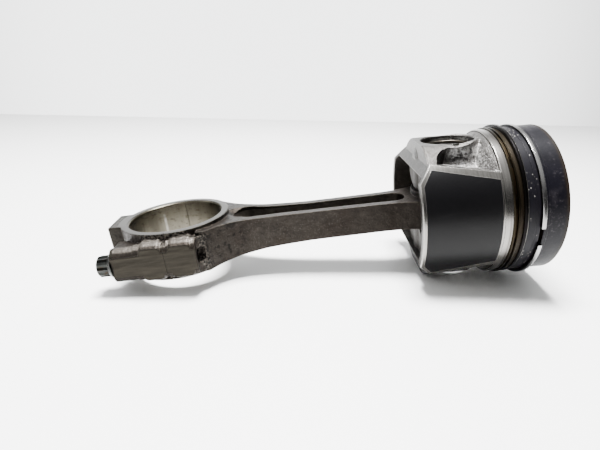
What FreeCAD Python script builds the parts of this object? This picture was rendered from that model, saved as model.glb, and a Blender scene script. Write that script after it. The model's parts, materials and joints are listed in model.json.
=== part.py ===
"""Piston and connecting rod of a small diesel engine, lying on a bench as it comes out of the cylinder.

An aluminium piston with a bowl in its crown, three rings and a graphite-printed skirt hangs on a forged
steel connecting rod by a full-floating wrist pin. The rod's big end is fracture-split, and two twelve-point
bolts hold its cap. The bearing shells aren't fitted.

Two working frames, in millimetres, share their origin at the middle of the wrist pin, +Z along the pin:
  rod frame     -X runs down the rod to the big end
  piston frame  +X runs up the cylinder axis to the crown; it is turned about the pin by REST_SWING
The last step leans both by LEAN, so that cap and ring belt stand on the bench, and puts the origin on the
bench under the middle of the whole.
"""
import FreeCAD, Part
import math
import os

V = FreeCAD.Vector
X, Y, Z = V(1, 0, 0), V(0, 1, 0), V(0, 0, 1)
ORIGIN = V(0, 0, 0)
BIG = 200.0              # longer than any piece, for cutting blocks

# ---- driving dimensions ----
BORE_DIA = 81.0          # cylinder bore
ROD_LENGTH = 154.0       # centre of wrist pin to centre of big end
BIG_END_DIA = 50.6       # housing bore, without bearing shells
BIG_END_WIDTH = 25.4     # between the machined thrust faces
PIN_DIA = 28.0
CROWN_HEIGHT = 47.1      # pin centre to top of crown
REST_SWING = -4.9        # degrees that the piston is turned about the pin, against the rod

# ---- piston ----
SKIRT_R = BORE_DIA / 2 - 0.05
LAND_R = BORE_DIA / 2 - 0.30
TOP_LAND_R = BORE_DIA / 2 - 0.40
SKIRT_END = -22.8        # open end
SKIRT_CORNER = -16.3     # where the skirt panel's cut-off corner ends
BELT_START = 16.5        # first full circle above the skirt
PANEL_HALF_END = 22.2    # half the skirt panel's height along the pin: open end, corner, ring belt
PANEL_HALF_CORNER = 30.4
PANEL_HALF_BELT = 24.8
SKIRT_WALL = 4.2
BOX_WALL = 4.6           # wall that carries a pin boss, between the two skirt panels
CAST_RELIEF = 1.1        # how far the cast wall lies below the panel's edge
PANEL_EDGE = 3.2         # width of the machined edge beside the cast wall
BOSS_R = 18.4
BOSS_RIM_R = 16.4        # at its face
BOSS_FACE = 37.3
BOSS_FOOT_R = 23.0       # where its fillet runs out
BOSS_FOOT = 24.2
BAND_END = -17.0         # flat end of the wall and bosses, towards the open end
BAND_START = -12.0
BAND_R = BORE_DIA / 2 - 1.0
BOSS_INNER_FACE = 11.6
CAVITY_TOP = 22.4
CAVITY_TOP_R = 30.5
CAVITY_SHOULDER = 15.0
PIN_CLEARANCE = 0.02
MOUTH_CHAMFER = 0.6
EDGE = 0.4               # small turned chamfer

# ring grooves: lower side, upper side, root radius
OIL_GROOVE = (20.5, 23.55, 35.4)
SECOND_GROOVE = (25.3, 27.1, 36.2)
TOP_GROOVE = (33.4, 35.45, 36.2)
CARRIER = (31.3, 37.5, 33.6)     # lower side, upper side, inner radius
DRAIN_HOLE_R = 1.3
DRAIN_ANGLES = (-38, -13, 13, 38)

# combustion bowl
BOWL_R = 23.0
BOWL_LIP_R = 22.0
BOWL_DEPTH = 14.5
BOWL_CONE = 8.5
POCKET_R = 13.5
POCKET_DEPTH = 0.9
POCKET_OFFSET = 24.0

# ---- rings: free outer radius, radial width, height, sag below the piston's axis, gap and its angle ----
TOP_RING = dict(r=41.95, width=3.3, height=2.0, sag=0.4, gap=9.6, gap_at=-10.0)
SECOND_RING = dict(r=41.4, width=3.3, height=1.75, sag=-0.8, gap=6.0, gap_at=-130.0)
OIL_RING = dict(r=40.85, width=3.1, height=2.95, sag=0.0, gap=3.0, gap_at=110.0)
OIL_RAIL = 0.85
OIL_SLOTS = 12
SPRING_R = 36.9
SPRING_TUBE = 1.15

# ---- wrist pin and circlips ----
PIN_HALF = 32.0
PIN_BORE_R = 7.4
PIN_MOUTH_R = 9.6
PIN_TAPER = 13.0
CLIP_WIRE = 0.95
CLIP_R = PIN_DIA / 2 + 0.35
CLIP_Z = PIN_HALF + 1.1
CLIP_OPEN = 55.0         # degrees

# ---- connecting rod ----
BIG_END = V(-ROD_LENGTH, 0, 0)
BIG_R = BIG_END_DIA / 2
BIG_HALF = BIG_END_WIDTH / 2
RIM = 4.0                # wall of the big end's ring
BORE_CHAMFER = 0.6
SMALL_EYE_R = 19.6
SMALL_HALF = 10.8
BUSH_WALL = 1.7
OIL_HOLE_R = 1.6
WEB_HALF = 2.6
FLANGE = 4.6
BOSS_FLAT = 5.0          # half height of the bolt boss's outer flat
BOSS_OUT = 36.2          # bolt boss, out from the rod's centre line
CAP_BOSS = 8.8           # half height of the bolt boss at the bolt's seat
CAP_SHOULDER = 9.4       # and beside the parting plane, on the cap
ROD_SHOULDER = 9.8       # and beside the parting plane, on the rod
SHOULDER_START = 15.0    # the cap's taller part, out from the parting plane
SEAT = 26.2              # bolt seat, out from the parting plane
FLANK = 15.6             # end of the rod's bolt boss, in from the parting plane
NOTCH = 0.9              # depth of the V-notch around the parting plane
CAP_END = 34.3
CAP_PAD_HALF = 10.4
SCOOP_R = 14.0           # of the hollow where the beam's channel runs out
LUMP_R = 10.5            # forged swelling around each bolt
LUMP_Y = 29.6
BOLT_Y = 30.7
BOLT_R = 4.0
BOLT_HOLE_CAP = 4.3
BOLT_HOLE_ROD = 4.05
BOLT_FLANGE_R = 6.7
BOLT_FLANGE = 2.1
BOLT_HEAD_R = 5.45
BOLT_HEAD = 7.8          # head with its flange
BOLT_END = 14.5          # bolt's tip, in from the parting plane

# ---- bench ----
LEAN = math.degrees(math.atan2(LAND_R - BIG_HALF, ROD_LENGTH + CAP_END + BELT_START))


def polygon(points):
    """A face in the XY plane."""
    corners = [V(x, y, 0) for x, y in points]
    return Part.Face(Part.makePolygon(corners + corners[:1]))


def turned(points, sweep=360.0):
    """A solid turned about X from (x, radius) points."""
    return polygon(points).revolve(ORIGIN, X, sweep)


def outline(points):
    """A closed wire through the points; a point given as (x, y, "arc") is the middle of an arc."""
    edges, start, middle = [], None, None
    for point in points + [points[0]]:
        at = V(point[0], point[1], 0)
        if len(point) == 3:
            middle = at
            continue
        if middle:
            edges.append(Part.Arc(start, middle, at).toShape())
        elif start:
            edges.append(Part.makeLine(start, at))
        start, middle = at, None
    return Part.Wire(edges)


def about_pin(points):
    """A solid turned about Z from (radius, z) points."""
    corners = [V(r, 0, z) for r, z in points]
    return Part.Face(Part.makePolygon(corners + corners[:1])).revolve(ORIGIN, Z, 360.0)


def plate(points, half):
    """An outline in the XY plane, half thick to each side."""
    face = polygon(points)
    face.translate(V(0, 0, -half))
    return face.extrude(V(0, 0, 2 * half))


def side_prism(points, half=BIG):
    """An outline in the XZ plane, half wide to each side along Y."""
    corners = [V(x, -half, z) for x, z in points]
    return Part.Face(Part.makePolygon(corners + corners[:1])).extrude(V(0, 2 * half, 0))


def block(x0, x1, y0, y1, z0, z1):
    return Part.makeBox(x1 - x0, y1 - y0, z1 - z0, V(x0, y0, z0))


def fuse(*shapes):
    return shapes[0].multiFuse(list(shapes[1:])).removeSplitter()


def both_sides(shape):
    """The shape and its mirror image across the rod's or piston's middle plane."""
    return [shape, shape.mirror(ORIGIN, Z)]


# ---- piston ----
def panel_outline():
    """The skirt panels' outline seen along Y: wide at the open end, with cut-off corners."""
    upper = [
        (SKIRT_END - 1.0, PANEL_HALF_END),
        (SKIRT_END, PANEL_HALF_END),
        (SKIRT_CORNER, PANEL_HALF_CORNER),
        (BELT_START, PANEL_HALF_BELT),
    ]
    return upper + [(x, -z) for x, z in reversed(upper)]


def ring_belt():
    """The turned part above the skirt, with its three grooves."""
    oil, second, top = OIL_GROOVE, SECOND_GROOVE, TOP_GROOVE
    return turned([
        (BELT_START, 0),
        (BELT_START, LAND_R - EDGE),
        (BELT_START + EDGE, LAND_R),
        (oil[0], LAND_R), (oil[0], oil[2]), (oil[1], oil[2]), (oil[1], LAND_R),
        (second[0], LAND_R), (second[0], second[2]), (second[1], second[2]), (second[1], LAND_R),
        (top[0], LAND_R), (top[0], top[2]), (top[1], top[2]), (top[1], TOP_LAND_R),
        (CROWN_HEIGHT - EDGE, TOP_LAND_R),
        (CROWN_HEIGHT, TOP_LAND_R - EDGE),
        (CROWN_HEIGHT, 0),
    ])


def carrier_band():
    """The iron ring carrier's section, without its groove."""
    low, high, root = CARRIER
    return turned([(low, LAND_R), (low + 0.8, root), (high - 0.8, root), (high, LAND_R)])


def skirt_tube():
    """The skirt as a solid barrel, cut to the panels' outline."""
    barrel = turned([
        (SKIRT_END, 0), (SKIRT_END, SKIRT_R - EDGE), (SKIRT_END + EDGE, SKIRT_R),
        (BELT_START, SKIRT_R), (BELT_START, 0),
    ])
    return barrel.common(side_prism(panel_outline()))


def cast_relief():
    """The cast hollow in the wall around a pin boss, inside the panels' machined edges."""
    x0, x1 = BAND_START, BELT_START
    z0, z1 = PANEL_HALF_CORNER - CAST_RELIEF - 0.9, PANEL_HALF_BELT - CAST_RELIEF
    reach = math.sqrt(SKIRT_R ** 2 - PANEL_HALF_BELT ** 2) - PANEL_EDGE
    narrow = math.sqrt(SKIRT_R ** 2 - PANEL_HALF_CORNER ** 2) - PANEL_EDGE
    wedge = side_prism([(x0, z0), (x1, z1), (x1, BIG), (x0, BIG)])
    opening = plate([(x0, -narrow), (x1, -reach), (x1, reach), (x0, narrow)], BIG)
    return wedge.common(opening)


def belt_slope():
    """The hollow cast slope that runs from the wall up to the edge of the ring belt."""
    x = BELT_START
    wire = outline([
        (x - 7.5, 0), (x - 7.5, 29.5), (x - 4.6, 34.6, "arc"),
        (x, 39.2), (x + 1, 39.2), (x + 1, 0),
    ])
    return Part.Face(wire).revolve(ORIGIN, X, 360.0)


def pin_boss():
    """The boss around the pin bore: a low cone with a hollow fillet at its foot."""
    foot, neck = BOSS_FOOT, BOSS_FOOT + 6.5
    wire = outline([
        (0, foot - 4), (BOSS_FOOT_R, foot - 4), (BOSS_FOOT_R, foot), (BOSS_R + 1.1, foot + 2.4, "arc"),
        (BOSS_R - 0.4, neck), (BOSS_RIM_R, BOSS_FACE - 0.8), (BOSS_RIM_R - 0.25, BOSS_FACE - 0.2, "arc"),
        (BOSS_RIM_R - 0.9, BOSS_FACE), (0, BOSS_FACE),
    ])
    face = Part.Face(wire)
    face.rotate(ORIGIN, X, 90)
    return face.revolve(ORIGIN, Z, 360.0)


def end_band():
    """The wall between the two skirt panels at the open end, which follows the piston's outside."""
    corner = math.sqrt(SKIRT_R ** 2 - PANEL_HALF_CORNER ** 2) - 0.2
    base = PANEL_HALF_BELT - 2.0
    half = outline([
        (BAND_END, -corner), (BAND_START - 0.5, -corner), (-9.5, -19.0, "arc"), (0, -BOSS_RIM_R),
        (0, BOSS_RIM_R), (-9.5, 19.0, "arc"), (BAND_START - 0.5, corner), (BAND_END, corner),
    ])
    band = Part.Face(half)
    band.translate(V(0, 0, base))
    return band.extrude(V(0, 0, BOSS_FACE - base))


def wall_castings():
    """What stands proud of the cast wall on one side: boss, end band and the slope under the ring belt."""
    envelope = turned([(BAND_END - 1, 0), (BAND_END - 1, BAND_R - 0.8), (BAND_END + 1.2, BAND_R),
                       (BELT_START + 3, BAND_R), (BELT_START + 3, 0)])
    foot = block(-BIG, BIG, -BIG, BIG, PANEL_HALF_BELT - 4.0, BIG)
    return fuse(pin_boss(), end_band(), belt_slope()).common(envelope).common(foot)


def cavity():
    """The space inside the skirt and under the crown, with the inner bosses left standing."""
    wide = turned([
        (SKIRT_END - 1, 0), (SKIRT_END - 1, SKIRT_R - SKIRT_WALL),
        (CAVITY_SHOULDER, SKIRT_R - SKIRT_WALL - 0.8),
        (CAVITY_TOP - 1.5, CAVITY_TOP_R), (CAVITY_TOP, CAVITY_TOP_R - 4), (CAVITY_TOP, 0),
    ])
    inner = PANEL_HALF_CORNER - CAST_RELIEF - BOX_WALL
    between = side_prism([
        (SKIRT_END - 1, inner), (SKIRT_CORNER, inner), (CAVITY_TOP + 1, inner - 4.6),
        (CAVITY_TOP + 1, -inner + 4.6), (SKIRT_CORNER, -inner), (SKIRT_END - 1, -inner),
    ])
    space = wide.common(between)
    for upper in both_sides(Part.makeCylinder(BOSS_R - 0.4, BIG, V(0, 0, BOSS_INNER_FACE), Z)):
        space = space.cut(upper)
    for web in both_sides(block(0, BIG, -BOSS_R + 5.5, BOSS_R - 5.5, BOSS_INNER_FACE, BIG)):
        space = space.cut(web)
    for end in both_sides(boss_end()):
        space = space.cut(end)
    return space


def boss_end():
    """The flat end of a boss inside the skirt, rounded off towards the rod."""
    low, out = BOSS_INNER_FACE, 16.2
    wire = outline([(-out, BIG), (-out, low + 9.0), (-out + 3.2, low + 2.8, "arc"), (-7.5, low), (7.5, low),
                    (out - 3.2, low + 2.8, "arc"), (out, low + 9.0), (out, BIG)])
    face = Part.Face(wire)
    face.rotate(ORIGIN, V(1, 1, 1), 120)
    face.translate(V(BAND_END, 0, 0))
    return face.extrude(V(-BAND_END, 0, 0))


def bowl():
    """The combustion bowl, with a cone at its middle and a lip that leans in."""
    floor = CROWN_HEIGHT - BOWL_DEPTH
    section = [
        (CROWN_HEIGHT + 1, 0), (CROWN_HEIGHT + 1, BOWL_LIP_R + 0.9), (CROWN_HEIGHT, BOWL_LIP_R + 0.9),
        (CROWN_HEIGHT - 1.2, BOWL_LIP_R), (CROWN_HEIGHT - 3.0, BOWL_LIP_R),
    ]
    steps = 8
    round_r = 5.6
    centre = (floor + round_r, BOWL_R - round_r)
    for i in range(steps + 1):
        a = math.radians(-10 + 100 * i / steps)
        section.append((centre[0] - round_r * math.sin(a), centre[1] + round_r * math.cos(a)))
    section += [(floor + BOWL_CONE - 1.0, 3.0), (floor + BOWL_CONE, 1.6), (floor + BOWL_CONE, 0)]
    return turned(section)


def pin_bore():
    """The bore through both bosses, its circlip grooves and its chamfered mouths."""
    r = PIN_DIA / 2 + PIN_CLEARANCE
    bore = Part.makeCylinder(r, 2 * BIG, V(0, 0, -BIG), Z)
    flare = MOUTH_CHAMFER + 1.0
    mouth = Part.makeCone(r, r + flare, flare, V(0, 0, BOSS_FACE - MOUTH_CHAMFER), Z)
    groove = Part.makeTorus(CLIP_R, CLIP_WIRE + 0.06, V(0, 0, CLIP_Z), Z)
    notch = Part.makeCylinder(2.0, 6.0, V(0, -r, CLIP_Z - 1.2), Z)
    return [bore, *both_sides(mouth), *both_sides(groove), *both_sides(notch)]


def drain_holes():
    """Radial holes that take scraped oil from the oil groove to the inside of the skirt."""
    x = (OIL_GROOVE[0] + OIL_GROOVE[1]) / 2
    holes = []
    for side in (-1, 1):
        for angle in DRAIN_ANGLES:
            a = math.radians(angle)
            out = V(-0.16, side * math.cos(a), math.sin(a))
            start = V(x, side * math.cos(a) * 41, math.sin(a) * 41)
            holes.append(Part.makeCylinder(DRAIN_HOLE_R, 17, start, out.negative()))
    return holes


def valve_pockets():
    pockets = []
    for sy in (-1, 1):
        for sz in (-1, 1):
            at = V(CROWN_HEIGHT - POCKET_DEPTH, sy * POCKET_OFFSET * 0.72, sz * POCKET_OFFSET * 0.72)
            pockets.append(Part.makeCylinder(POCKET_R, 5, at, X))
    return pockets


def piston():
    body = fuse(ring_belt(), skirt_tube())
    for relief in both_sides(cast_relief()):
        body = body.cut(relief)
    body = fuse(body, *both_sides(wall_castings()))
    body = body.cut(cavity())
    body = body.cut(carrier_band())
    tools = [bowl(), *pin_bore(), *drain_holes(), *valve_pockets()]
    for tool in tools:
        body = body.cut(tool)
    return body.removeSplitter()


def ring_carrier():
    """The iron insert that holds the top ring's groove."""
    low, high, root = TOP_GROOVE
    groove = turned([(low, root), (high, root), (high, BIG), (low, BIG)])
    trim = turned([(0, 0), (0, LAND_R), (high, LAND_R), (high, TOP_LAND_R), (BIG, TOP_LAND_R), (BIG, 0)])
    return carrier_band().cut(groove).common(trim)


# ---- rings ----
def split_ring(shape, ring):
    """Cuts a ring open at its gap and lets it sag below the piston's axis."""
    gap = block(0, BIG, 0, BIG, -ring["gap"] / 2, ring["gap"] / 2)
    gap.rotate(ORIGIN, X, 180 - ring["gap_at"])
    shape = shape.cut(gap)
    shape.translate(V(0, 0, -ring["sag"]))
    return shape


def plain_ring(ring, groove):
    """A compression ring, with a softened face."""
    base = (groove[0] + groove[1] - ring["height"]) / 2
    top, out, inner = base + ring["height"], ring["r"], ring["r"] - ring["width"]
    section = [(base, inner), (base, out - 0.25), (base + 0.3, out - 0.03),
               (base + 0.45 * ring["height"], out), (top - 0.3, out - 0.03), (top, out - 0.25), (top, inner)]
    return split_ring(turned(section), ring)


def oil_ring():
    """The oil ring: two scraping rails, drain slots between them and a seat for its spring inside."""
    ring, rail = OIL_RING, OIL_RAIL
    base = (OIL_GROOVE[0] + OIL_GROOVE[1] - ring["height"]) / 2
    top, out, inner = base + ring["height"], ring["r"], ring["r"] - ring["width"]
    middle = (base + top) / 2
    section = [(base, inner), (base, out - 0.35), (base + 0.35, out), (base + rail, out),
               (base + rail + 0.2, out - 1.0), (top - rail - 0.2, out - 1.0), (top - rail, out),
               (top - 0.35, out), (top, out - 0.35), (top, inner)]
    shape = turned(section).cut(torus_about_x(SPRING_R, SPRING_TUBE + 0.08, middle))
    for i in range(OIL_SLOTS):
        slot = block(middle - 0.35, middle + 0.35, 30, 45, -3.0, 3.0)
        slot.rotate(ORIGIN, X, 360.0 * (i + 0.5) / OIL_SLOTS)
        shape = shape.cut(slot)
    return split_ring(shape, ring)


def torus_about_x(radius, tube, x):
    return Part.makeTorus(radius, tube, V(x, 0, 0), X)


def oil_ring_spring():
    """The coil expander behind the oil ring, as the closed tube that its coils fill."""
    return torus_about_x(SPRING_R, SPRING_TUBE, (OIL_GROOVE[0] + OIL_GROOVE[1]) / 2)


# ---- pin and clips ----
def wrist_pin():
    r, edge = PIN_DIA / 2, 0.8
    half = [(PIN_BORE_R, 0), (PIN_BORE_R, PIN_HALF - PIN_TAPER), (PIN_MOUTH_R, PIN_HALF),
            (r - edge, PIN_HALF), (r, PIN_HALF - edge), (r, 0)]
    upper = about_pin(half)
    return fuse(upper, upper.mirror(ORIGIN, Z))


def circlips():
    """Two round-wire snap rings, open towards the mouth's notch."""
    wire = Part.makeTorus(CLIP_R, CLIP_WIRE, V(0, 0, CLIP_Z), Z)
    half = math.radians(CLIP_OPEN / 2)
    reach = 2 * CLIP_R
    wedge = Part.Face(Part.makePolygon([
        V(0, 0, 0), V(-reach * math.sin(half), -reach * math.cos(half), 0),
        V(reach * math.sin(half), -reach * math.cos(half), 0), V(0, 0, 0),
    ])).extrude(V(0, 0, 60))
    return Part.makeCompound(both_sides(wire.cut(wedge)))


# ---- connecting rod ----
def beam_outline():
    """Half widths of the rod along its length: small eye, waist, and the flare to the bolt bosses."""
    return [(-8.0, 17.6), (-14.0, 16.0), (-20.0, 14.3), (-26.0, 12.8), (-31.5, 11.9), (-48.0, 11.1),
            (-62.0, 10.8), (-78.0, 10.6), (-92.0, 11.0), (-104.0, 12.1), (-113.0, 13.9), (-120.0, 16.1),
            (-126.0, 19.6), (-131.0, 23.8), (-135.0, 28.2), (-138.8, 32.4)]


def spline_face(points):
    """A face in the XY plane between a smooth curve through the points and its mirror image."""
    upper = Part.BSplineCurve()
    upper.interpolate([V(x, y, 0) for x, y in points])
    lower = Part.BSplineCurve()
    lower.interpolate([V(x, -y, 0) for x, y in points])
    (x0, y0), (x1, y1) = points[0], points[-1]
    ends = [Part.makeLine(V(x0, -y0, 0), V(x0, y0, 0)), Part.makeLine(V(x1, y1, 0), V(x1, -y1, 0))]
    return Part.Face(Part.Wire(Part.__sortEdges__([upper.toShape(), lower.toShape(), *ends])))


def beam():
    """The I-section beam, tapered in thickness, with a channel in each face."""
    face = spline_face(beam_outline())
    face.translate(V(0, 0, -BIG_HALF))
    solid = face.extrude(V(0, 0, 2 * BIG_HALF))
    thickness = [(0, 7.9), (-30, 7.9), (-80, 8.2), (-105, 8.9), (-122, 10.1), (-139, 11.0)]
    profile = thickness + [(x, -z) for x, z in reversed(thickness)]
    solid = solid.common(side_prism(profile)).common(boss_limit())
    channel_points = [(x, max(w - FLANGE, 1.0)) for x, w in beam_outline() if -117 < x < -31]
    channel = spline_face(channel_points)
    ends = []
    for x, w in (channel_points[0], channel_points[-1]):
        ends.append(Part.makeCylinder(w, BIG, V(x, 0, WEB_HALF), Z))
    channel.translate(V(0, 0, WEB_HALF))
    pocket = channel.extrude(V(0, 0, BIG)).fuse(ends[0]).fuse(ends[1]).removeSplitter()
    scoop = Part.makeSphere(SCOOP_R, V(-117.0, 0, 9.4 + SCOOP_R - 2.3))
    for cut in both_sides(pocket) + both_sides(scoop):
        solid = solid.cut(cut)
    return solid


def boss_outline(top):
    """Section of a bolt boss: a valley beside the ring, a rounded crest over the bolt, an outer flat."""
    crest = BOLT_Y + 0.6
    upper = [(20.0, top - 0.9), (27.3, top - 0.9), (29.6, top - 0.35, "arc"), (crest, top),
             (34.7, top - 0.36 * (top - BOSS_FLAT), "arc"), (BOSS_OUT, BOSS_FLAT)]
    return upper + [(p[0], -p[1]) + p[2:] for p in reversed(upper)]


def bolt_boss(x0, x1, side, top):
    """One length of a bolt boss on one side of the big end."""
    face = Part.Face(outline(boss_outline(top)))
    face.rotate(ORIGIN, V(1, 1, 1), 120)
    if side < 0:
        face = face.mirror(ORIGIN, Y)
    face.translate(V(-ROD_LENGTH + x0, 0, 0))
    return face.extrude(V(x1 - x0, 0, 0))


def boss_limit():
    """The bolt bosses' rounded outside carried along the whole rod, which trims the beam's flare."""
    solid = block(-BIG, BIG, -28.0, 28.0, -BIG_HALF, BIG_HALF)
    for side in (-1, 1):
        solid = solid.fuse(bolt_boss(-BIG, BIG, side, ROD_SHOULDER))
    return solid


def bolt_lump(x0, x1, side):
    """The forging's swelling around the bolt hole, beside the parting plane."""
    length = x1 - x0
    lump = Part.makeCylinder(LUMP_R, length, V(-ROD_LENGTH + x0, side * LUMP_Y, 0), X)
    ends = [e for e in lump.Edges if e.Length > 3 * LUMP_R]
    lump = lump.makeFillet(2.0, ends)
    return lump.common(block(-BIG, BIG, -BOSS_OUT + 0.05, BOSS_OUT - 0.05, -BIG, BIG))


def parting_notch(side):
    """The V-notch on the outside of the ring that started the fracture."""
    points = [(-ROD_LENGTH - 1.7, side * (BIG_R + RIM + 6)), (-ROD_LENGTH, side * (BIG_R + RIM - NOTCH)),
              (-ROD_LENGTH + 1.7, side * (BIG_R + RIM + 6))]
    notch = plate(points, BIG)
    return notch.cut(block(-BIG, 0, -BIG, BIG, -CAP_SHOULDER + 1.2, CAP_SHOULDER - 1.2))


def big_end_blank():
    """Both halves of the big end in one, before the bore and the split."""
    ring = Part.makeCylinder(BIG_R + RIM, BIG_END_WIDTH, BIG_END - V(0, 0, BIG_HALF), Z)
    bosses = []
    for side in (-1, 1):
        bosses.append(bolt_boss(-SEAT, FLANK, side, CAP_BOSS))
        bosses.append(bolt_boss(-SHOULDER_START, 0.5, side, CAP_SHOULDER))
        bosses.append(bolt_boss(-0.5, FLANK, side, ROD_SHOULDER))
        bosses.append(bolt_lump(-12.0, -1.4, side))
        bosses.append(bolt_lump(2.2, 13.5, side))
    x = -ROD_LENGTH
    pad = plate([(x - CAP_END, -CAP_PAD_HALF), (x - 27.5, -CAP_PAD_HALF), (x - 24.2, -CAP_PAD_HALF - 3.6),
                 (x - 20, 0), (x - 24.2, CAP_PAD_HALF + 3.6), (x - 27.5, CAP_PAD_HALF),
                 (x - CAP_END, CAP_PAD_HALF)], BIG_HALF)
    blank = fuse(ring, *bosses, pad)
    for side in (-1, 1):
        blank = blank.cut(parting_notch(side))
    return blank


def big_end_tools():
    """What is cut from both halves: the bore with its chamfers, and the bolt holes."""
    bore = Part.makeCylinder(BIG_R, BIG, BIG_END - V(0, 0, BIG / 2), Z)
    flare = 2 * BORE_CHAMFER
    mouth = Part.makeCone(BIG_R, BIG_R + flare, flare, BIG_END + V(0, 0, BIG_HALF - BORE_CHAMFER), Z)
    tools = [bore, *both_sides(mouth)]
    for side in (-1, 1):
        at = V(-ROD_LENGTH, side * BOLT_Y, 0)
        tools.append(Part.makeCylinder(BOLT_HOLE_CAP, SEAT + 1, at, X.negative()))
        tools.append(Part.makeCylinder(BOLT_HOLE_ROD, FLANK + 3.2, at, X))
    return tools


def big_end(keep_cap):
    shape = big_end_blank()
    for tool in big_end_tools():
        shape = shape.cut(tool)
    x0, x1 = (-BIG, -ROD_LENGTH) if keep_cap else (-ROD_LENGTH, 0)
    return shape.common(block(x0, x1, -BIG, BIG, -BIG, BIG))


def connecting_rod():
    eye = Part.makeCylinder(SMALL_EYE_R, 2 * SMALL_HALF, V(0, 0, -SMALL_HALF), Z)
    shape = fuse(eye, beam(), big_end(keep_cap=False))
    for tool in big_end_tools():
        shape = shape.cut(tool)
    shape = shape.cut(Part.makeCylinder(PIN_DIA / 2 + BUSH_WALL, BIG, V(0, 0, -BIG / 2), Z))
    return shape.cut(oil_hole()).removeSplitter()


def oil_hole():
    """The hole that lets splashed oil into the bush, at the crown side of the small eye."""
    return Part.makeCylinder(OIL_HOLE_R, BIG, V(PIN_DIA / 2 - 3, 0, 0), X)


def small_end_bush():
    r = PIN_DIA / 2 + PIN_CLEARANCE
    out, half = PIN_DIA / 2 + BUSH_WALL, SMALL_HALF
    bush = about_pin([(r, -half), (out, -half), (out, half), (r, half)])
    return bush.cut(oil_hole())


def cap_bolts():
    """Two twelve-point flange bolts, with a waist between the head and the thread."""
    seat, tip = -SEAT, BOLT_END
    body = turned([
        (seat - BOLT_FLANGE, 0), (seat - BOLT_FLANGE, BOLT_FLANGE_R - 1.3),
        (seat - 0.5, BOLT_FLANGE_R), (seat, BOLT_FLANGE_R),
        (seat, BOLT_R), (seat + 5, BOLT_R), (seat + 6, BOLT_R - 0.5), (-5, BOLT_R - 0.5), (-4, BOLT_R),
        (tip - 0.8, BOLT_R), (tip, BOLT_R - 0.8), (tip, 0),
    ])
    points = []
    for i in range(24):
        r = BOLT_HEAD_R if i % 2 == 0 else BOLT_HEAD_R * 0.885
        a = math.radians(15 * i)
        points.append(V(seat - BOLT_HEAD, r * math.cos(a), r * math.sin(a)))
    star = Part.Face(Part.makePolygon(points + points[:1])).extrude(V(BOLT_HEAD - BOLT_FLANGE + 0.2, 0, 0))
    crown = turned([
        (seat - BOLT_HEAD, 0), (seat - BOLT_HEAD, BOLT_HEAD_R - 0.9),
        (seat - BOLT_HEAD + 0.7, BOLT_HEAD_R + 0.1),
        (seat, BOLT_HEAD_R + 0.1), (seat, 0),
    ])
    dimple = Part.makeCone(2.2, 1.0, 1.2, V(seat - BOLT_HEAD, 0, 0), X)
    shape = fuse(body, star.common(crown)).cut(dimple)
    near = shape.translated(V(-ROD_LENGTH, -BOLT_Y, 0))
    far = shape.translated(V(-ROD_LENGTH, BOLT_Y, 0))
    return Part.makeCompound([near, far])


def on_bench(parts, on_piston):
    """Turns the piston's pieces about the pin, leans everything and stands it on the bench."""
    for name, shape in parts.items():
        if name in on_piston:
            shape.rotate(ORIGIN, Z, REST_SWING)
        shape.rotate(ORIGIN, Y, -LEAN)
    whole = Part.makeCompound(list(parts.values())).optimalBoundingBox(True, False)
    shift = V(-(whole.XMin + whole.XMax) / 2, -(whole.YMin + whole.YMax) / 2, -whole.ZMin)
    for shape in parts.values():
        shape.translate(shift)
    return shift


def main():
    os.makedirs("parts", exist_ok=True)
    parts = {
        "piston": piston(),
        "ring_carrier": ring_carrier(),
        "top_ring": plain_ring(TOP_RING, TOP_GROOVE),
        "second_ring": plain_ring(SECOND_RING, SECOND_GROOVE),
        "oil_ring": oil_ring(),
        "oil_ring_spring": oil_ring_spring(),
        "circlips": circlips(),
        "wrist_pin": wrist_pin(),
        "connecting_rod": connecting_rod(),
        "small_end_bush": small_end_bush(),
        "rod_cap": big_end(keep_cap=True),
        "cap_bolts": cap_bolts(),
    }
    on_piston = ["piston", "ring_carrier", "top_ring", "second_ring", "oil_ring",
                 "oil_ring_spring", "circlips"]
    shift = on_bench(parts, on_piston)
    print("lean", round(LEAN, 5), "shift", [round(c, 4) for c in shift])
    for name, shape in parts.items():
        if not shape.isValid():
            raise ValueError(name + " is not valid")
        print(name, "solids", len(shape.Solids), "volume", round(shape.Volume, 1))
        shape.exportStep("parts/" + name + ".step")


main()
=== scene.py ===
"""Piston and connecting rod of a small diesel engine, on a plain pale bench."""
import json
import math
import bpy
from mathutils import Matrix, Vector

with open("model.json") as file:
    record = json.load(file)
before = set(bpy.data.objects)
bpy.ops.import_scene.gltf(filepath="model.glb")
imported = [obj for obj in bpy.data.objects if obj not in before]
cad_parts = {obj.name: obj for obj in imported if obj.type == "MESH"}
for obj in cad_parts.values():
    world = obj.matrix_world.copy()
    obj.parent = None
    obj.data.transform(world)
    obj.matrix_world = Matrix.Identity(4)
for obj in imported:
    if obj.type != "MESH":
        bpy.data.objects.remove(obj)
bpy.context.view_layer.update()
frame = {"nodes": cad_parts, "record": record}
nodes = frame["nodes"]
joints = {joint["name"]: joint for joint in frame["record"]["behaviour"]["joints"]}
mounts = {mount["name"]: mount for mount in frame["record"]["mounts"]}

# ---- the two working frames, from the record's own joints and mounts ----
PIN = Vector(joints["piston_swing"]["pos_m"])
PIN_AXIS = Vector(joints["piston_swing"]["axis"]).normalized()
CROWN = Vector(joints["top_ring_spin"]["axis"]).normalized()
BIG_END = Vector(mounts["big_end_bore"]["pos_m"])


def local_frame(origin, x_axis, z_axis):
    """A matrix whose X and Z axes are these, at this origin."""
    y_axis = z_axis.cross(x_axis).normalized()
    turn = Matrix((x_axis, y_axis, z_axis)).transposed().to_4x4()
    return Matrix.Translation(origin) @ turn


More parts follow.
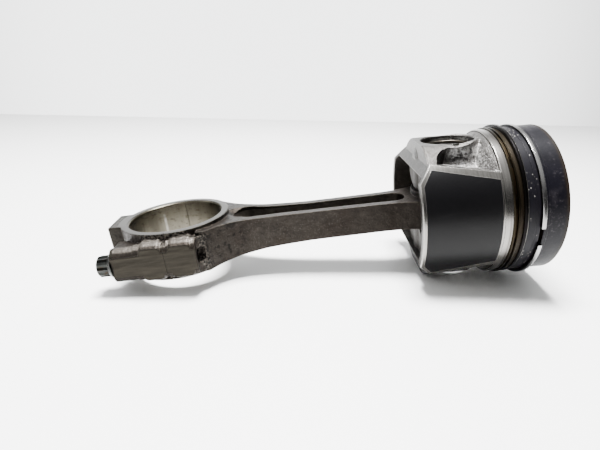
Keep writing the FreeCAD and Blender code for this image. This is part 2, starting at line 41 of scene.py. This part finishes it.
# +X runs to the crown on the piston, from the wrist pin, and to the pin on the rod, from the big end
PISTON = local_frame(PIN, CROWN, PIN_AXIS)
ROD = local_frame(BIG_END, (PIN - BIG_END).normalized(), PIN_AXIS)

# ---- places on the piston, in millimetres from the wrist pin ----
WALL_R = 39.7                     # skirt panels and lands lie outside this, cast walls inside it
GROOVE_R = 39.6                   # ring grooves lie inside this
CAVITY_R = 37.75
CAVITY_HALF = 24.75               # half the inner cavity's height, along the pin
PAD_ENDS = (-20.95, 15.65)        # the printed pad, along the cylinder axis
PAD_SIDE = (28.5, 16.1, 0.206)    # its side edge: half width, where along the axis, and taper
PAD_CORNER = (21.8, 20.9, 1.396)  # its cut corner, in the same way
TURNED_END = 20.8
BELT_START = 16.4
THIRD_LAND = (20.5, 26.0)
SECOND_LAND = (26.0, 34.3)
CROWN_FACE = 46.75
BOWL_R = 25.25
BOWL_FLOOR = 30.1
RING_FACE_R = 40.22               # a ring's running face lies outside this

# ---- places on the rod, in millimetres from the middle of the big end ----
BORE_R = 25.68
THRUST_R = 30.9
THRUST_HALF = 12.55               # the ground thrust faces' height above the middle plane
BOLT_FLAT = 36.07                 # the bolt bosses' outer flats, across from the middle
BOLT_FLAT_END = 16.75
BOLT_SEAT = -24.67
CAP_PAD = -26.8                   # the cap's balance pad
CHANNEL = (28.0, 127.0)           # the beam's channels, along the rod
CHANNEL_HALF = 9.4

SURFACE_LEVEL = 0.5      # the bench is lit brightly, so every surface on it is held back by this much
SPECULAR = 0.12
MM = 1000


def rgb(red, green, blue):
    """A surface colour for the shader, from display values of 0 to 255."""
    return tuple(SURFACE_LEVEL * ((v / 255 + 0.055) / 1.055) ** 2.4 for v in (red, green, blue))


class Paint:
    """One material's nodes. Positions are millimetres in a working frame, and masks run from 0 to 1."""

    def __init__(self, name, place):
        self.material = bpy.data.materials.new(name)
        self.material.use_nodes = True
        self.tree = self.material.node_tree
        self.shader = self.tree.nodes["Principled BSDF"]
        self.shader.inputs["Metallic"].default_value = 1.0
        self.shader.inputs["Specular IOR Level"].default_value = SPECULAR
        turn = place.to_3x3().transposed()
        coords = self.node("TexCoord", {}, "Object")
        shift = -MM * (turn @ place.translation)
        self.at = self.node("Mapping", {"Vector": coords, "Location": shift, "Rotation": turn.to_euler(),
                                        "Scale": (MM, MM, MM)})
        self.x, self.y, self.z = self.parts(self.at)

    def put(self, socket, value):
        """Links a node's output to a socket, or sets a plain value on it."""
        if isinstance(value, bpy.types.NodeSocket):
            self.tree.links.new(value, socket)
        elif socket.type == "RGBA" and len(value) == 3:
            socket.default_value = (*value, 1)
        else:
            socket.default_value = value

    def node(self, kind, inputs, out=0, **settings):
        """Adds a node and gives one of its outputs."""
        node = self.tree.nodes.new("ShaderNode" + kind)
        for key, value in settings.items():
            setattr(node, key, value)
        for key, value in inputs.items():
            self.put(node.inputs[key], value)
        return node.outputs[out]

    # numbers
    def parts(self, vector):
        node = self.tree.nodes.new("ShaderNodeSeparateXYZ")
        self.put(node.inputs[0], vector)
        return node.outputs

    def math(self, operation, a, b=0.0):
        return self.node("Math", {0: a, 1: b}, operation=operation)

    def plus(self, a, b):
        return self.math("ADD", a, b)

    def minus(self, a, b):
        return self.math("SUBTRACT", a, b)

    def times(self, a, b):
        return self.math("MULTIPLY", a, b)

    def size(self, value):
        return self.math("ABSOLUTE", value)

    def join(self, x, y, z):
        return self.node("CombineXYZ", {0: x, 1: y, 2: z})

    def radius(self, a, b):
        return self.math("SQRT", self.plus(self.times(a, a), self.times(b, b)))

    # masks
    def step(self, value, low, high):
        """0 at low and 1 at high, with a smooth ramp between; low may be the larger."""
        return self.node("MapRange", {"Value": value, "From Min": low, "From Max": high},
                         interpolation_type="SMOOTHSTEP")

    def above(self, value, limit, soft=0.1):
        return self.step(value, limit - soft, limit + soft)

    def below(self, value, limit, soft=0.1):
        return self.step(value, limit + soft, limit - soft)

    def inside(self, value, low, high, soft=0.08):
        return self.both(self.above(value, low, soft), self.below(value, high, soft))

    def both(self, *masks):
        result = masks[0]
        for mask in masks[1:]:
            result = self.times(result, mask)
        return result

    def either(self, *masks):
        result = masks[0]
        for mask in masks[1:]:
            result = self.math("MAXIMUM", result, mask)
        return result

    def outside(self, mask):
        return self.minus(1.0, mask)

    # patterns
    def noise(self, size, detail=3.0, rough=0.55, at=None, warp=0.0):
        """Cloudy values around 0.5, with blots of about this size in millimetres."""
        return self.node("TexNoise", {"Vector": at or self.at, "Scale": 1 / size, "Detail": detail,
                                      "Roughness": rough, "Distortion": warp})

    def spots(self, size, low, high, detail=3.0, at=None, rough=0.55):
        return self.step(self.noise(size, detail, rough, at), low, high)

    def sway(self, amount, size, detail=3.0, rough=0.55):
        """A wander of up to half this amount each way, in millimetres."""
        return self.times(self.minus(self.noise(size, detail, rough), 0.5), amount)

    def cells(self, size):
        return self.node("TexVoronoi", {"Vector": self.at, "Scale": 1 / size}, "Distance")

    # colours
    def mix(self, mask, a, b):
        node = self.tree.nodes.new("ShaderNodeMix")
        node.data_type = "RGBA"
        for index, value in ((0, mask), (6, a), (7, b)):
            self.put(node.inputs[index], value)
        return node.outputs[2]

    def blend(self, mask, a, b):
        return self.node("Mix", {0: mask, 2: a, 3: b})

    def wash(self, base, strength, tone, *masks):
        """Lays a tone over a colour at this strength where all the masks are."""
        return self.mix(self.both(*masks, strength), base, tone)

    def layers(self, base, *layers):
        """Lays each (mask, colour or value) over what is under it."""
        is_color = getattr(base, "type", None) == "RGBA" or hasattr(base, "__len__")
        join = self.mix if is_color else self.blend
        for mask, value in layers:
            base = join(mask, base, value)
        return base

    # relief
    def edges(self, width):
        """1 where the surface turns sharply within so many millimetres, and a normal that rounds it off."""
        rounded = self.node("Bevel", {"Radius": width / MM}, samples=4)
        true = self.node("NewGeometry", {}, "Normal")
        same = self.node("VectorMath", {0: rounded, 1: true}, "Value", operation="DOT_PRODUCT")
        return self.step(same, 0.995, 0.93), rounded

    def bumps(self, normal, *heights):
        """Stacks (height, depth in millimetres) on a normal, one on another."""
        for height, depth in heights:
            normal = self.node("Bump", {"Height": height, "Distance": depth / MM, "Normal": normal})
        return normal

    def finish(self, color, roughness, normal, metallic=None):
        self.put(self.shader.inputs["Base Color"], color)
        self.put(self.shader.inputs["Roughness"], roughness)
        self.put(self.shader.inputs["Normal"], normal)
        if metallic is not None:
            self.put(self.shader.inputs["Metallic"], metallic)
        return self.material


# ---- piston ----
class PistonZones:
    """Masks of the piston's regions, and the patterns that more than one of its colours follow."""

    def __init__(self, p):
        self.r = p.radius(p.y, p.z)
        self.height = p.size(p.z)
        self.round_it = p.join(p.x, p.times(p.math("ARCTAN2", p.y, p.z), 1.2), 0.0)
        self.worn = p.sway(0.5, 1.2)
        self.blots = p.noise(6.0, 6.0, 0.68, warp=0.6)
        wall = p.above(self.r, WALL_R)
        belt = p.above(p.x, BELT_START)
        self.belt = belt
        self.pad = p.both(wall, self.pad_outline(p), p.inside(p.x, *PAD_ENDS, 0.12))
        self.machined = p.both(wall, p.below(p.x, TURNED_END))
        self.groove = p.both(belt, p.below(self.r, GROOVE_R))
        self.third_land = p.both(belt, p.inside(p.x, *THIRD_LAND))
        self.second_land = p.both(belt, p.inside(p.x, *SECOND_LAND))
        self.top_land = p.both(belt, p.above(p.x, SECOND_LAND[1]))
        bowl = p.both(p.below(self.r, BOWL_R, 0.25), p.above(p.x, BOWL_FLOOR))
        self.crown = p.either(p.above(p.x, CROWN_FACE, 0.15), bowl)
        self.cavity = p.both(p.below(self.r, CAVITY_R, 0.15), p.outside(belt),
                             p.below(self.height, CAVITY_HALF, 0.75))

    def pad_outline(self, p):
        """The sides and cut corners of the eight-sided patch on each skirt panel, a little worn."""
        half, at, taper = PAD_SIDE
        side_edge = p.minus(half, p.times(p.plus(p.x, at), taper))
        half, at, slope = PAD_CORNER
        corner_edge = p.plus(half, p.times(p.plus(p.x, at), slope))
        room = p.minus(p.math("MINIMUM", side_edge, corner_edge), self.height)
        return p.step(p.plus(room, self.worn), 0.0, 0.35)


def cast_color(p, zones):
    """Cast aluminium: mottled and darker towards the open end, with painted highlight flecks at the feet of
    the bosses and in the valley, and painted reflections, bright and dark blots, on the boss walls.
    """
    cast = p.mix(p.noise(3.2, 6.0, 0.7), rgb(52, 50, 48), rgb(150, 147, 144))
    cast = p.wash(cast, 0.4, rgb(84, 76, 66), p.spots(9.0, 0.52, 0.72, 5.0))
    cast = p.wash(cast, 0.55, rgb(236, 234, 232), p.spots(0.45, 0.6, 0.68, 2.0))
    # darker towards the open end
    cast = p.wash(cast, 0.6, rgb(44, 42, 40), p.step(p.x, 4.0, -8.0))

    from_pin = p.plus(p.radius(p.x, p.y), p.sway(3.0, 2.5))
    foot = p.both(p.inside(from_pin, 18.7, 21.6, 0.6), p.inside(zones.height, 23.0, 30.5, 0.6))
    # painted highlight: bright flecks along the fillet at the foot of each pin boss
    painted_highlight_flecks = p.mix(p.spots(0.9, 0.35, 0.6), rgb(120, 117, 114), rgb(246, 244, 242))
    cast = p.wash(cast, 0.75, painted_highlight_flecks, foot, p.step(p.x, -4.0, 1.0))

    boss_wall = p.both(p.below(from_pin, 18.3, 0.5), p.inside(zones.height, 26.0, 35.2, 0.7))
    # painted reflections: bright and dark blots on the boss walls, made light to lift the shade they face
    painted_reflection_blots = p.mix(p.spots(2.4, 0.36, 0.62, 5.0, rough=0.72), rgb(36, 34, 33), rgb(250, 248, 246))
    cast = p.wash(cast, 0.85, painted_reflection_blots, boss_wall, p.step(p.x, -6.0, -1.0))

    # painted highlight: bright flecks in the cast valley below the ring belt
    valley = p.both(p.inside(p.x, 9.4, 13.2, 0.8), p.below(zones.r, 37.0, 0.5))
    return p.wash(cast, 0.6, rgb(240, 238, 235), valley, p.spots(1.2, 0.4, 0.62))


def turned_color(p, zones):
    """Turned aluminium, streaked round the cylinder axis, with burnt oil beside the ring belt."""
    turned = p.mix(p.noise(0.7, 4.0, 0.65, zones.round_it), rgb(126, 122, 116), rgb(214, 211, 206))
    oil = p.both(p.inside(p.x, 19.2, 20.8, 0.5), p.spots(2.2, 0.42, 0.62, 5.0, zones.round_it))
    return p.wash(turned, 0.9, rgb(46, 30, 16), oil)


def print_color(p):
    """The skirt's black print, with faint scuffs along the cylinder axis."""
    along = p.join(p.times(p.x, 0.2), p.y, p.z)
    color = p.mix(p.noise(14.0, 3.0), rgb(7, 7, 9), rgb(13, 12, 14))
    return p.wash(color, 0.18, rgb(40, 39, 40), p.spots(3.0, 0.6, 0.75, 5.0, along))


def second_land_color(p, zones):
    """Violet black, with a few bright chips along the middle of the land."""
    violet = p.mix(zones.blots, rgb(8, 8, 11), rgb(29, 27, 35))
    chips = p.both(p.step(p.cells(1.3), 0.3, 0.14), p.spots(0.5, 0.4, 0.5), p.spots(7.0, 0.5, 0.57, 2.0))
    return p.mix(p.both(chips, p.inside(p.x, 27.6, 32.4, 0.4)), violet, rgb(196, 192, 186))


def top_land_color(p, zones):
    """Soot: wiped in places, dusty, brown at the crown's rim and scratched."""
    soot = p.mix(zones.blots, rgb(2, 2, 6), rgb(18, 16, 27))
    wide = p.join(p.x, p.times(p.y, 0.5), p.times(p.z, 0.5))
    soot = p.wash(soot, 0.6, rgb(46, 43, 48), p.spots(4.5, 0.55, 0.75, 6.0, wide))
    soot = p.wash(soot, 0.6, rgb(74, 70, 74), p.spots(1.3, 0.52, 0.7, 5.0), p.spots(16.0, 0.45, 0.6, 2.0))
    rim = p.step(p.plus(p.x, p.times(zones.worn, 3.0)), 44.2, 46.8)
    soot = p.wash(soot, 0.75, rgb(44, 34, 22), rim)
    slanted = p.join(p.plus(p.x, p.y), 0.0, p.times(p.z, 0.03))
    scratches = p.both(p.spots(0.35, 0.7, 0.74, 1.0, slanted, 0.5), p.spots(10.0, 0.55, 0.62, 2.0))
    return p.wash(soot, 0.4, rgb(110, 104, 102), scratches)


def crown_color(p):
    """Carbon, rusty in blotches."""
    carbon = p.mix(p.noise(3.2, 7.0, 0.7), rgb(12, 11, 10), rgb(58, 50, 42))
    return p.wash(carbon, 0.6, rgb(92, 72, 50), p.spots(11.0, 0.55, 0.68, 5.0))


def piston_material(name):
    """Aluminium with a printed skirt pad, turned borders, cast walls, sooted lands and crown."""
    p = Paint(name, PISTON)
    zones = PistonZones(p)
    inside_color = p.mix(p.noise(7.0, 4.0), rgb(28, 25, 22), rgb(66, 60, 54))
    third_land_color = p.mix(p.noise(2.6, 5.0, 0.7, zones.round_it), rgb(7, 6, 5), rgb(64, 55, 40))
    groove_color = p.mix(p.noise(1.5, 5.0), rgb(8, 6, 5), rgb(40, 27, 14))
    color = p.layers(cast_color(p, zones), (zones.cavity, inside_color),
                     (zones.machined, turned_color(p, zones)), (zones.pad, print_color(p)),
                     (zones.third_land, third_land_color), (zones.second_land, second_land_color(p, zones)),
                     (zones.top_land, top_land_color(p, zones)), (zones.groove, groove_color),
                     (zones.crown, crown_color(p)))
    sharp_edges, rounded = p.edges(0.5)
    # edge wear and painted edge highlight: sharp edges outside the crown, belt and cavity are lightened
    worn_and_highlit_edges = p.both(sharp_edges, p.outside(p.either(zones.crown, zones.belt, zones.cavity)), 0.6)
    color = p.mix(worn_and_highlit_edges, color, rgb(214, 212, 208))

    roughness = p.layers(0.42, (zones.cavity, 0.6), (zones.machined, 0.24), (zones.pad, 0.36),
                         (zones.third_land, 0.36), (zones.second_land, 0.4),
                         (zones.top_land, p.blend(zones.blots, 0.32, 0.5)), (zones.groove, 0.5),
                         (zones.crown, 0.85), (worn_and_highlit_edges, 0.35))
    metallic = p.layers(1.0, (zones.cavity, 0.7), (zones.pad, 0.0), (zones.top_land, 0.0),
                        (zones.second_land, 0.05), (zones.third_land, 0.6), (zones.groove, 0.2),
                        (zones.crown, 0.0))

    cast = p.outside(p.either(zones.machined, zones.belt, zones.crown))
    tool_lines = p.noise(0.16, 2.0, 0.6, p.join(p.x, 0.0, 0.0))
    normal = p.bumps(rounded, (p.both(p.noise(3.0, 3.0), cast), 0.35),
                     (p.both(p.noise(0.8, 4.0, 0.6), cast), 0.34),
                     (p.both(tool_lines, p.either(zones.machined, zones.third_land)), 0.012),
                     (p.both(p.noise(0.9, 4.0), p.either(zones.crown, zones.top_land)), 0.06),
                     (zones.pad, 0.03))
    return p.finish(color, roughness, normal, metallic)


def ring_material(name, near, far, face_tones, flank_tones, face_rough=0.22, bright_edge=None):
    """A piston ring with dull flanks. Its running face lies between near and far on the cylinder axis."""
    p = Paint(name, PISTON)
    r = p.radius(p.y, p.z)
    round_it = p.join(p.times(p.x, 2.0), p.times(p.math("ARCTAN2", p.y, p.z), 3.0), 0.0)
    face = p.both(p.inside(p.x, near, far, 0.06), p.above(r, RING_FACE_R, 0.075))
    face_color = p.mix(p.noise(1.4, 4.0, 0.6, round_it), *face_tones)
    flank_color = p.mix(p.noise(1.8, 5.0, 0.65), *flank_tones)
    color = p.mix(face, flank_color, face_color)
    if bright_edge:
        scraper = p.both(p.inside(p.x, *bright_edge, 0.08), p.above(r, 40.1))
        color = p.mix(scraper, color, rgb(196, 192, 184))
    sharp_edges, rounded = p.edges(0.18)
    color = p.wash(color, 0.5, face_tones[1], sharp_edges)
    normal = p.bumps(rounded, (p.noise(0.12, 2.0, 0.6, p.join(p.x, 0.0, 0.0)), 0.008))
    return p.finish(color, p.layers(0.5, (face, face_rough)), normal)


# ---- rod ----
class RodZones:
    """Masks of the rod's and cap's machined faces, and the patterns that more than one colour follows."""

    def __init__(self, p):
        self.across = p.size(p.y)
        self.height = p.size(p.z)
        self.angle = p.math("ARCTAN2", p.y, p.x)
        r = p.radius(p.x, p.y)
        self.bore = p.both(p.below(r, BORE_R, 0.075), p.below(self.height, 12.68, 0.075))
        self.thrust = p.both(p.above(self.height, THRUST_HALF, 0.05), p.below(r, THRUST_R))
        self.cap_pad = p.both(p.below(p.x, CAP_PAD, 0.2), p.below(self.across, 12.05, 0.45))
        self.flat = p.both(p.above(self.across, BOLT_FLAT, 0.05), p.below(p.x, BOLT_FLAT_END, 0.25))
        self.seat = p.both(p.below(p.x, BOLT_SEAT, 0.075), p.above(self.across, 21.5, 0.5))
        self.peened = p.outside(p.either(self.bore, self.thrust, self.flat))
        self.channel = p.both(p.inside(p.x, *CHANNEL, 1.0), p.below(self.across, CHANNEL_HALF, 0.4),
                              p.inside(self.height, 3.0, 7.5, 0.4))
        # the cracked parting plane is a thin uneven dark line
        jagged = p.plus(p.x, p.sway(0.5, 1.3, 6.0, 0.7))
        self.crack = p.both(p.inside(jagged, -0.04, 0.04, 0.1), p.below(r, 39.5, 0.5))
        self.mottle = p.noise(4.5, 6.0, 0.68)
        self.specks = p.spots(0.55, 0.58, 0.7, 3.0, rough=0.6)
        self.streaky = p.noise(1.6, 5.0, 0.65, p.join(p.times(p.x, 0.12), p.y, p.z))


def forged_color(p, zones):
    """Dark peened steel: specked, pitted, smudged beside the bolts and darker towards the wrist pin."""
    forged = p.mix(zones.mottle, rgb(19, 17, 15), rgb(72, 66, 60))
    forged = p.wash(forged, 0.5, rgb(38, 30, 24), p.spots(14.0, 0.45, 0.7, 4.0))
    forged = p.wash(forged, 0.45, rgb(120, 114, 106), zones.specks)
    forged = p.wash(forged, 0.75, rgb(10, 8, 7), p.spots(0.9, 0.42, 0.3, 4.0, rough=0.7))
    forged = p.wash(forged, 0.7, rgb(10, 9, 8), p.inside(p.x, 17.0, 38.0, 5.0), p.spots(3.2, 0.5, 0.6, 6.0))
    forged = p.wash(forged, 0.45, rgb(26, 20, 16), p.step(p.x, 50.0, 125.0))
    # the beam's channels get a lighter colour, painted light that lifts the shade inside them
    return p.mix(zones.channel, forged, p.mix(zones.mottle, rgb(34, 31, 28), rgb(122, 115, 106)))


def ground_color(p, zones):
    """The thrust faces, ground along the rod and stained with oil."""
    ground = p.mix(zones.streaky, rgb(54, 51, 46), rgb(92, 89, 82))
    return p.wash(ground, 0.45, rgb(52, 45, 37), p.spots(5.0, 0.55, 0.7, 5.0))


def bore_color(p, zones):
    """The bored big end, with streaks along the bore, oil stains and one bright glint."""
    turns = p.times(zones.angle, 26.0)
    along = p.join(turns, p.times(p.z, 0.15), 0.0)
    polished = p.mix(p.noise(5.0, 5.0, 0.6, along), rgb(104, 99, 88), rgb(164, 158, 142))
    oily = p.join(turns, p.times(p.z, 2.0), 0.0)
    polished = p.wash(polished, 0.5, rgb(70, 60, 46), p.spots(4.0, 0.52, 0.7, 6.0, oily))
    glint = p.both(p.inside(p.x, -13.6, -12.6, 0.5), p.step(p.y, 0.0, 2.0), p.spots(6.0, 0.3, 0.6))
    return p.wash(polished, 0.6, rgb(236, 232, 222), glint)


def forged_material(name):
    """Forged, shot-peened steel with ground thrust faces, a bored big end and a cracked parting line."""
    p = Paint(name, ROD)
    zones = RodZones(p)
    flat_color = p.mix(zones.streaky, rgb(18, 17, 15), rgb(70, 66, 59))
    pad_color = p.mix(zones.streaky, rgb(40, 38, 34), rgb(72, 69, 63))

    # the smoother crest over the bolts, lightened as a painted highlight, and the rough skin in the valley
    # beside them
    crest = p.both(p.inside(zones.across, 30.6, 34.6, 0.5), p.inside(p.x, -25.5, 15.0, 0.5),
                   p.above(zones.height, 7.1, 0.3))
    painted_crest_highlight = p.mix(zones.specks, rgb(112, 106, 99), rgb(190, 184, 175))
    ragged = p.plus(zones.across, p.sway(4.0, 2.6))
    near_bolts = p.both(p.inside(ragged, 27.0, 30.4, 0.7), p.inside(p.x, -21.0, 20.0, 3.0), zones.peened)
    rough_skin = p.mix(p.spots(1.0, 0.4, 0.66), rgb(8, 7, 6), rgb(112, 106, 98))

    sharp_edges, rounded = p.edges(0.9)
    color = p.layers(forged_color(p, zones), (p.both(crest, 0.75), painted_crest_highlight), (near_bolts, rough_skin),
                     (zones.flat, flat_color), (p.both(zones.cap_pad, 0.6), pad_color),
                     (zones.seat, flat_color), (zones.thrust, ground_color(p, zones)),
                     (zones.bore, bore_color(p, zones)))
    # edge wear and painted edge highlight on the peened forging's sharp edges
    color = p.wash(color, 0.28, rgb(120, 112, 102), sharp_edges, zones.peened)
    color = p.wash(color, 0.75, rgb(14, 11, 9), zones.crack)

    roughness = p.layers(p.blend(zones.mottle, 0.36, 0.55), (zones.thrust, 0.36), (zones.flat, 0.4),
                         (zones.bore, 0.3), (zones.crack, 0.8))
    metallic = p.layers(0.7, (zones.channel, 0.1), (p.either(zones.thrust, zones.flat, zones.bore), 1.0))
    normal = p.bumps(rounded, (p.both(p.noise(5.0, 3.0), zones.peened), 0.6),
                     (p.both(p.noise(1.1, 3.0, 0.6), zones.peened), 0.22),
                     (p.both(p.noise(1.4, 3.0, 0.7), near_bolts), 1.0),
                     (p.both(zones.streaky, p.either(zones.thrust, zones.flat)), 0.05),
                     (p.both(zones.crack, -1.0), 0.1))
    return p.finish(color, roughness, normal, metallic)


# ---- small pieces ----
def metal_material(name, place, tones, rough, blot, stain=None, edge=0.4):
    """Plain metal with blots of two tones, a stain and lighter edges."""
    p = Paint(name, place)
    color = p.mix(p.noise(blot, 5.0, 0.65), *tones)
    if stain:
        color = p.wash(color, 0.7, stain, p.spots(blot * 1.6, 0.52, 0.66, 5.0))
    sharp_edges, rounded = p.edges(edge)
    edge_tone = tuple(min(1.0, channel * 1.9 + 0.02) for channel in tones[1])
    color = p.wash(color, 0.45, edge_tone, sharp_edges)
    normal = p.bumps(rounded, (p.noise(0.5, 3.0), 0.02))
    return p.finish(color, p.blend(p.noise(blot * 0.8), rough * 0.8, rough * 1.25), normal)


def dress(name, material):
    """Gives a CAD node its material."""
    mesh = nodes[name].data
    mesh.materials.clear()
    mesh.materials.append(material)


def dress_rings():
    """A bright chromed top ring, a black second ring with one bright edge, and a burnt oil ring."""
    face, flank = (rgb(176, 175, 174), rgb(228, 227, 226)), (rgb(8, 7, 8), rgb(34, 31, 29))
    dress("top_ring", ring_material("ring_steel", 33.5, 35.35, face, flank))
    face, flank = (rgb(9, 8, 9), rgb(32, 30, 30)), (rgb(7, 6, 6), rgb(28, 25, 22))
    dress("second_ring", ring_material("ring_iron", 25.4, 27.0, face, flank, 0.35, (26.8, 27.06)))
    face, flank = (rgb(9, 8, 7), rgb(62, 55, 41)), (rgb(10, 8, 6), rgb(48, 35, 18))
    dress("oil_ring", ring_material("oil_ring_steel", 20.6, 23.5, face, flank, 0.36))


def dress_small_pieces():
    """The expander, clips, pin, bush and bolts, each in its own metal."""
    tones = (rgb(96, 92, 86), rgb(168, 164, 158))
    dress("oil_ring_spring", metal_material("spring_steel", PISTON, tones, 0.3, 1.5))
    tones = (rgb(52, 48, 44), rgb(120, 114, 106))
    dress("circlips", metal_material("circlip_wire", PISTON, tones, 0.3, 1.5, edge=0.1))
    tones = (rgb(120, 118, 114), rgb(196, 194, 190))
    dress("wrist_pin", metal_material("pin_steel", PISTON, tones, 0.2, 4.0, rgb(96, 78, 56)))
    tones = (rgb(132, 102, 62), rgb(190, 156, 104))
    dress("small_end_bush", metal_material("bush_bronze", ROD, tones, 0.34, 2.5, rgb(74, 54, 36)))
    tones = (rgb(36, 37, 36), rgb(74, 76, 73))
    dress("cap_bolts", metal_material("bolt_steel", ROD, tones, 0.3, 1.8, rgb(58, 48, 38)))


# ---- camera ----
CAMERA_FROM_PIN = Vector((-0.10014, -0.22332, 0.06955))
LENS = 24.8
YAW = math.radians(4.065)
PITCH = math.radians(20.41)
ROLL = math.radians(1.65)


def camera():
    """Stands in front of the rod and a little above it, and looks down on the part."""
    obj = bpy.data.objects.new("camera", bpy.data.cameras.new("camera"))
    bpy.context.scene.collection.objects.link(obj)
    obj.location = PIN + CAMERA_FROM_PIN
    obj.data.lens = LENS
    obj.data.sensor_width = 36
    obj.data.clip_start = 0.005
    turn = Matrix.Rotation(-YAW, 4, "Z") @ Matrix.Rotation(math.pi / 2 - PITCH, 4, "X")
    obj.rotation_euler = (turn @ Matrix.Rotation(ROLL, 4, "Z")).to_euler()
    bpy.context.scene.camera = obj


# ---- bench and light ----
BENCH = ((-2, -0.3), (2, 0.78))       # nearest left and farthest right corner, metres
GLOWS = (("Z", 0.3, 0.95, 0.9), ("Y", 0.6, 0.95, 4.2))    # above and behind: direction, ramp and strength
FILL = 0.06                           # the room's light from everywhere else


def bench():
    """The plain pale surface that the part lies on."""
    (left, near), (right, far) = BENCH
    mesh = bpy.data.meshes.new("bench")
    corners = [(left, near, 0), (right, near, 0), (right, far, 0), (left, far, 0)]
    mesh.from_pydata(corners, [], [(0, 1, 2, 3)])
    obj = bpy.data.objects.new("bench", mesh)
    bpy.context.scene.collection.objects.link(obj)
    material = bpy.data.materials.new("bench")
    material.use_nodes = True
    shader = material.node_tree.nodes["Principled BSDF"]
    shader.inputs["Base Color"].default_value = (0.9, 0.9, 0.895, 1)
    shader.inputs["Roughness"].default_value = 0.4
    mesh.materials.append(material)


def area_light(name, place, target, size, power):
    """A soft rectangular light that points at the target."""
    data = bpy.data.lights.new(name, "AREA")
    data.shape = "RECTANGLE"
    data.size, data.size_y = size
    data.energy = power
    light = bpy.data.objects.new(name, data)
    bpy.context.scene.collection.objects.link(light)
    light.location = place
    light.rotation_euler = (Vector(target) - Vector(place)).to_track_quat("-Z", "Y").to_euler()


def studio():
    """A soft room: bright above and behind the part, dim on the side it is seen from."""
    world = bpy.data.worlds.new("studio")
    world.use_nodes = True
    tree = world.node_tree
    coords = tree.nodes.new("ShaderNodeTexCoord")
    axes = tree.nodes.new("ShaderNodeSeparateXYZ")
    tree.links.new(coords.outputs["Generated"], axes.inputs[0])
    most = tree.nodes.new("ShaderNodeMath")
    most.operation = "MAXIMUM"
    for index, (axis, low, high, gain) in enumerate(GLOWS):
        ramp = tree.nodes.new("ShaderNodeMapRange")
        ramp.interpolation_type = "SMOOTHSTEP"
        for key, value in (("From Min", low), ("From Max", high), ("To Max", gain)):
            ramp.inputs[key].default_value = value
        tree.links.new(axes.outputs[axis], ramp.inputs["Value"])
        tree.links.new(ramp.outputs[0], most.inputs[index])
    total = tree.nodes.new("ShaderNodeMath")
    total.operation = "ADD"
    total.inputs[1].default_value = FILL
    tree.links.new(most.outputs[0], total.inputs[0])
    background = tree.nodes["Background"]
    background.inputs["Color"].default_value = (0.96, 0.97, 0.97, 1)
    tree.links.new(total.outputs[0], background.inputs["Strength"])
    bpy.context.scene.world = world


dress("piston", piston_material("piston_alloy"))
dress("ring_carrier", piston_material("carrier_iron"))
dress_rings()
dress("connecting_rod", forged_material("rod_steel"))
dress("rod_cap", forged_material("cap_steel"))
dress_small_pieces()
camera()
bench()
studio()
area_light("overhead", (-0.03, 0.07, 0.87), (0, 0, 0), (0.36, 0.26), 60.0)
area_light("left", (-0.8, 0.0, 0.4), (0, 0, 0.03), (0.4, 0.5), 3.0)
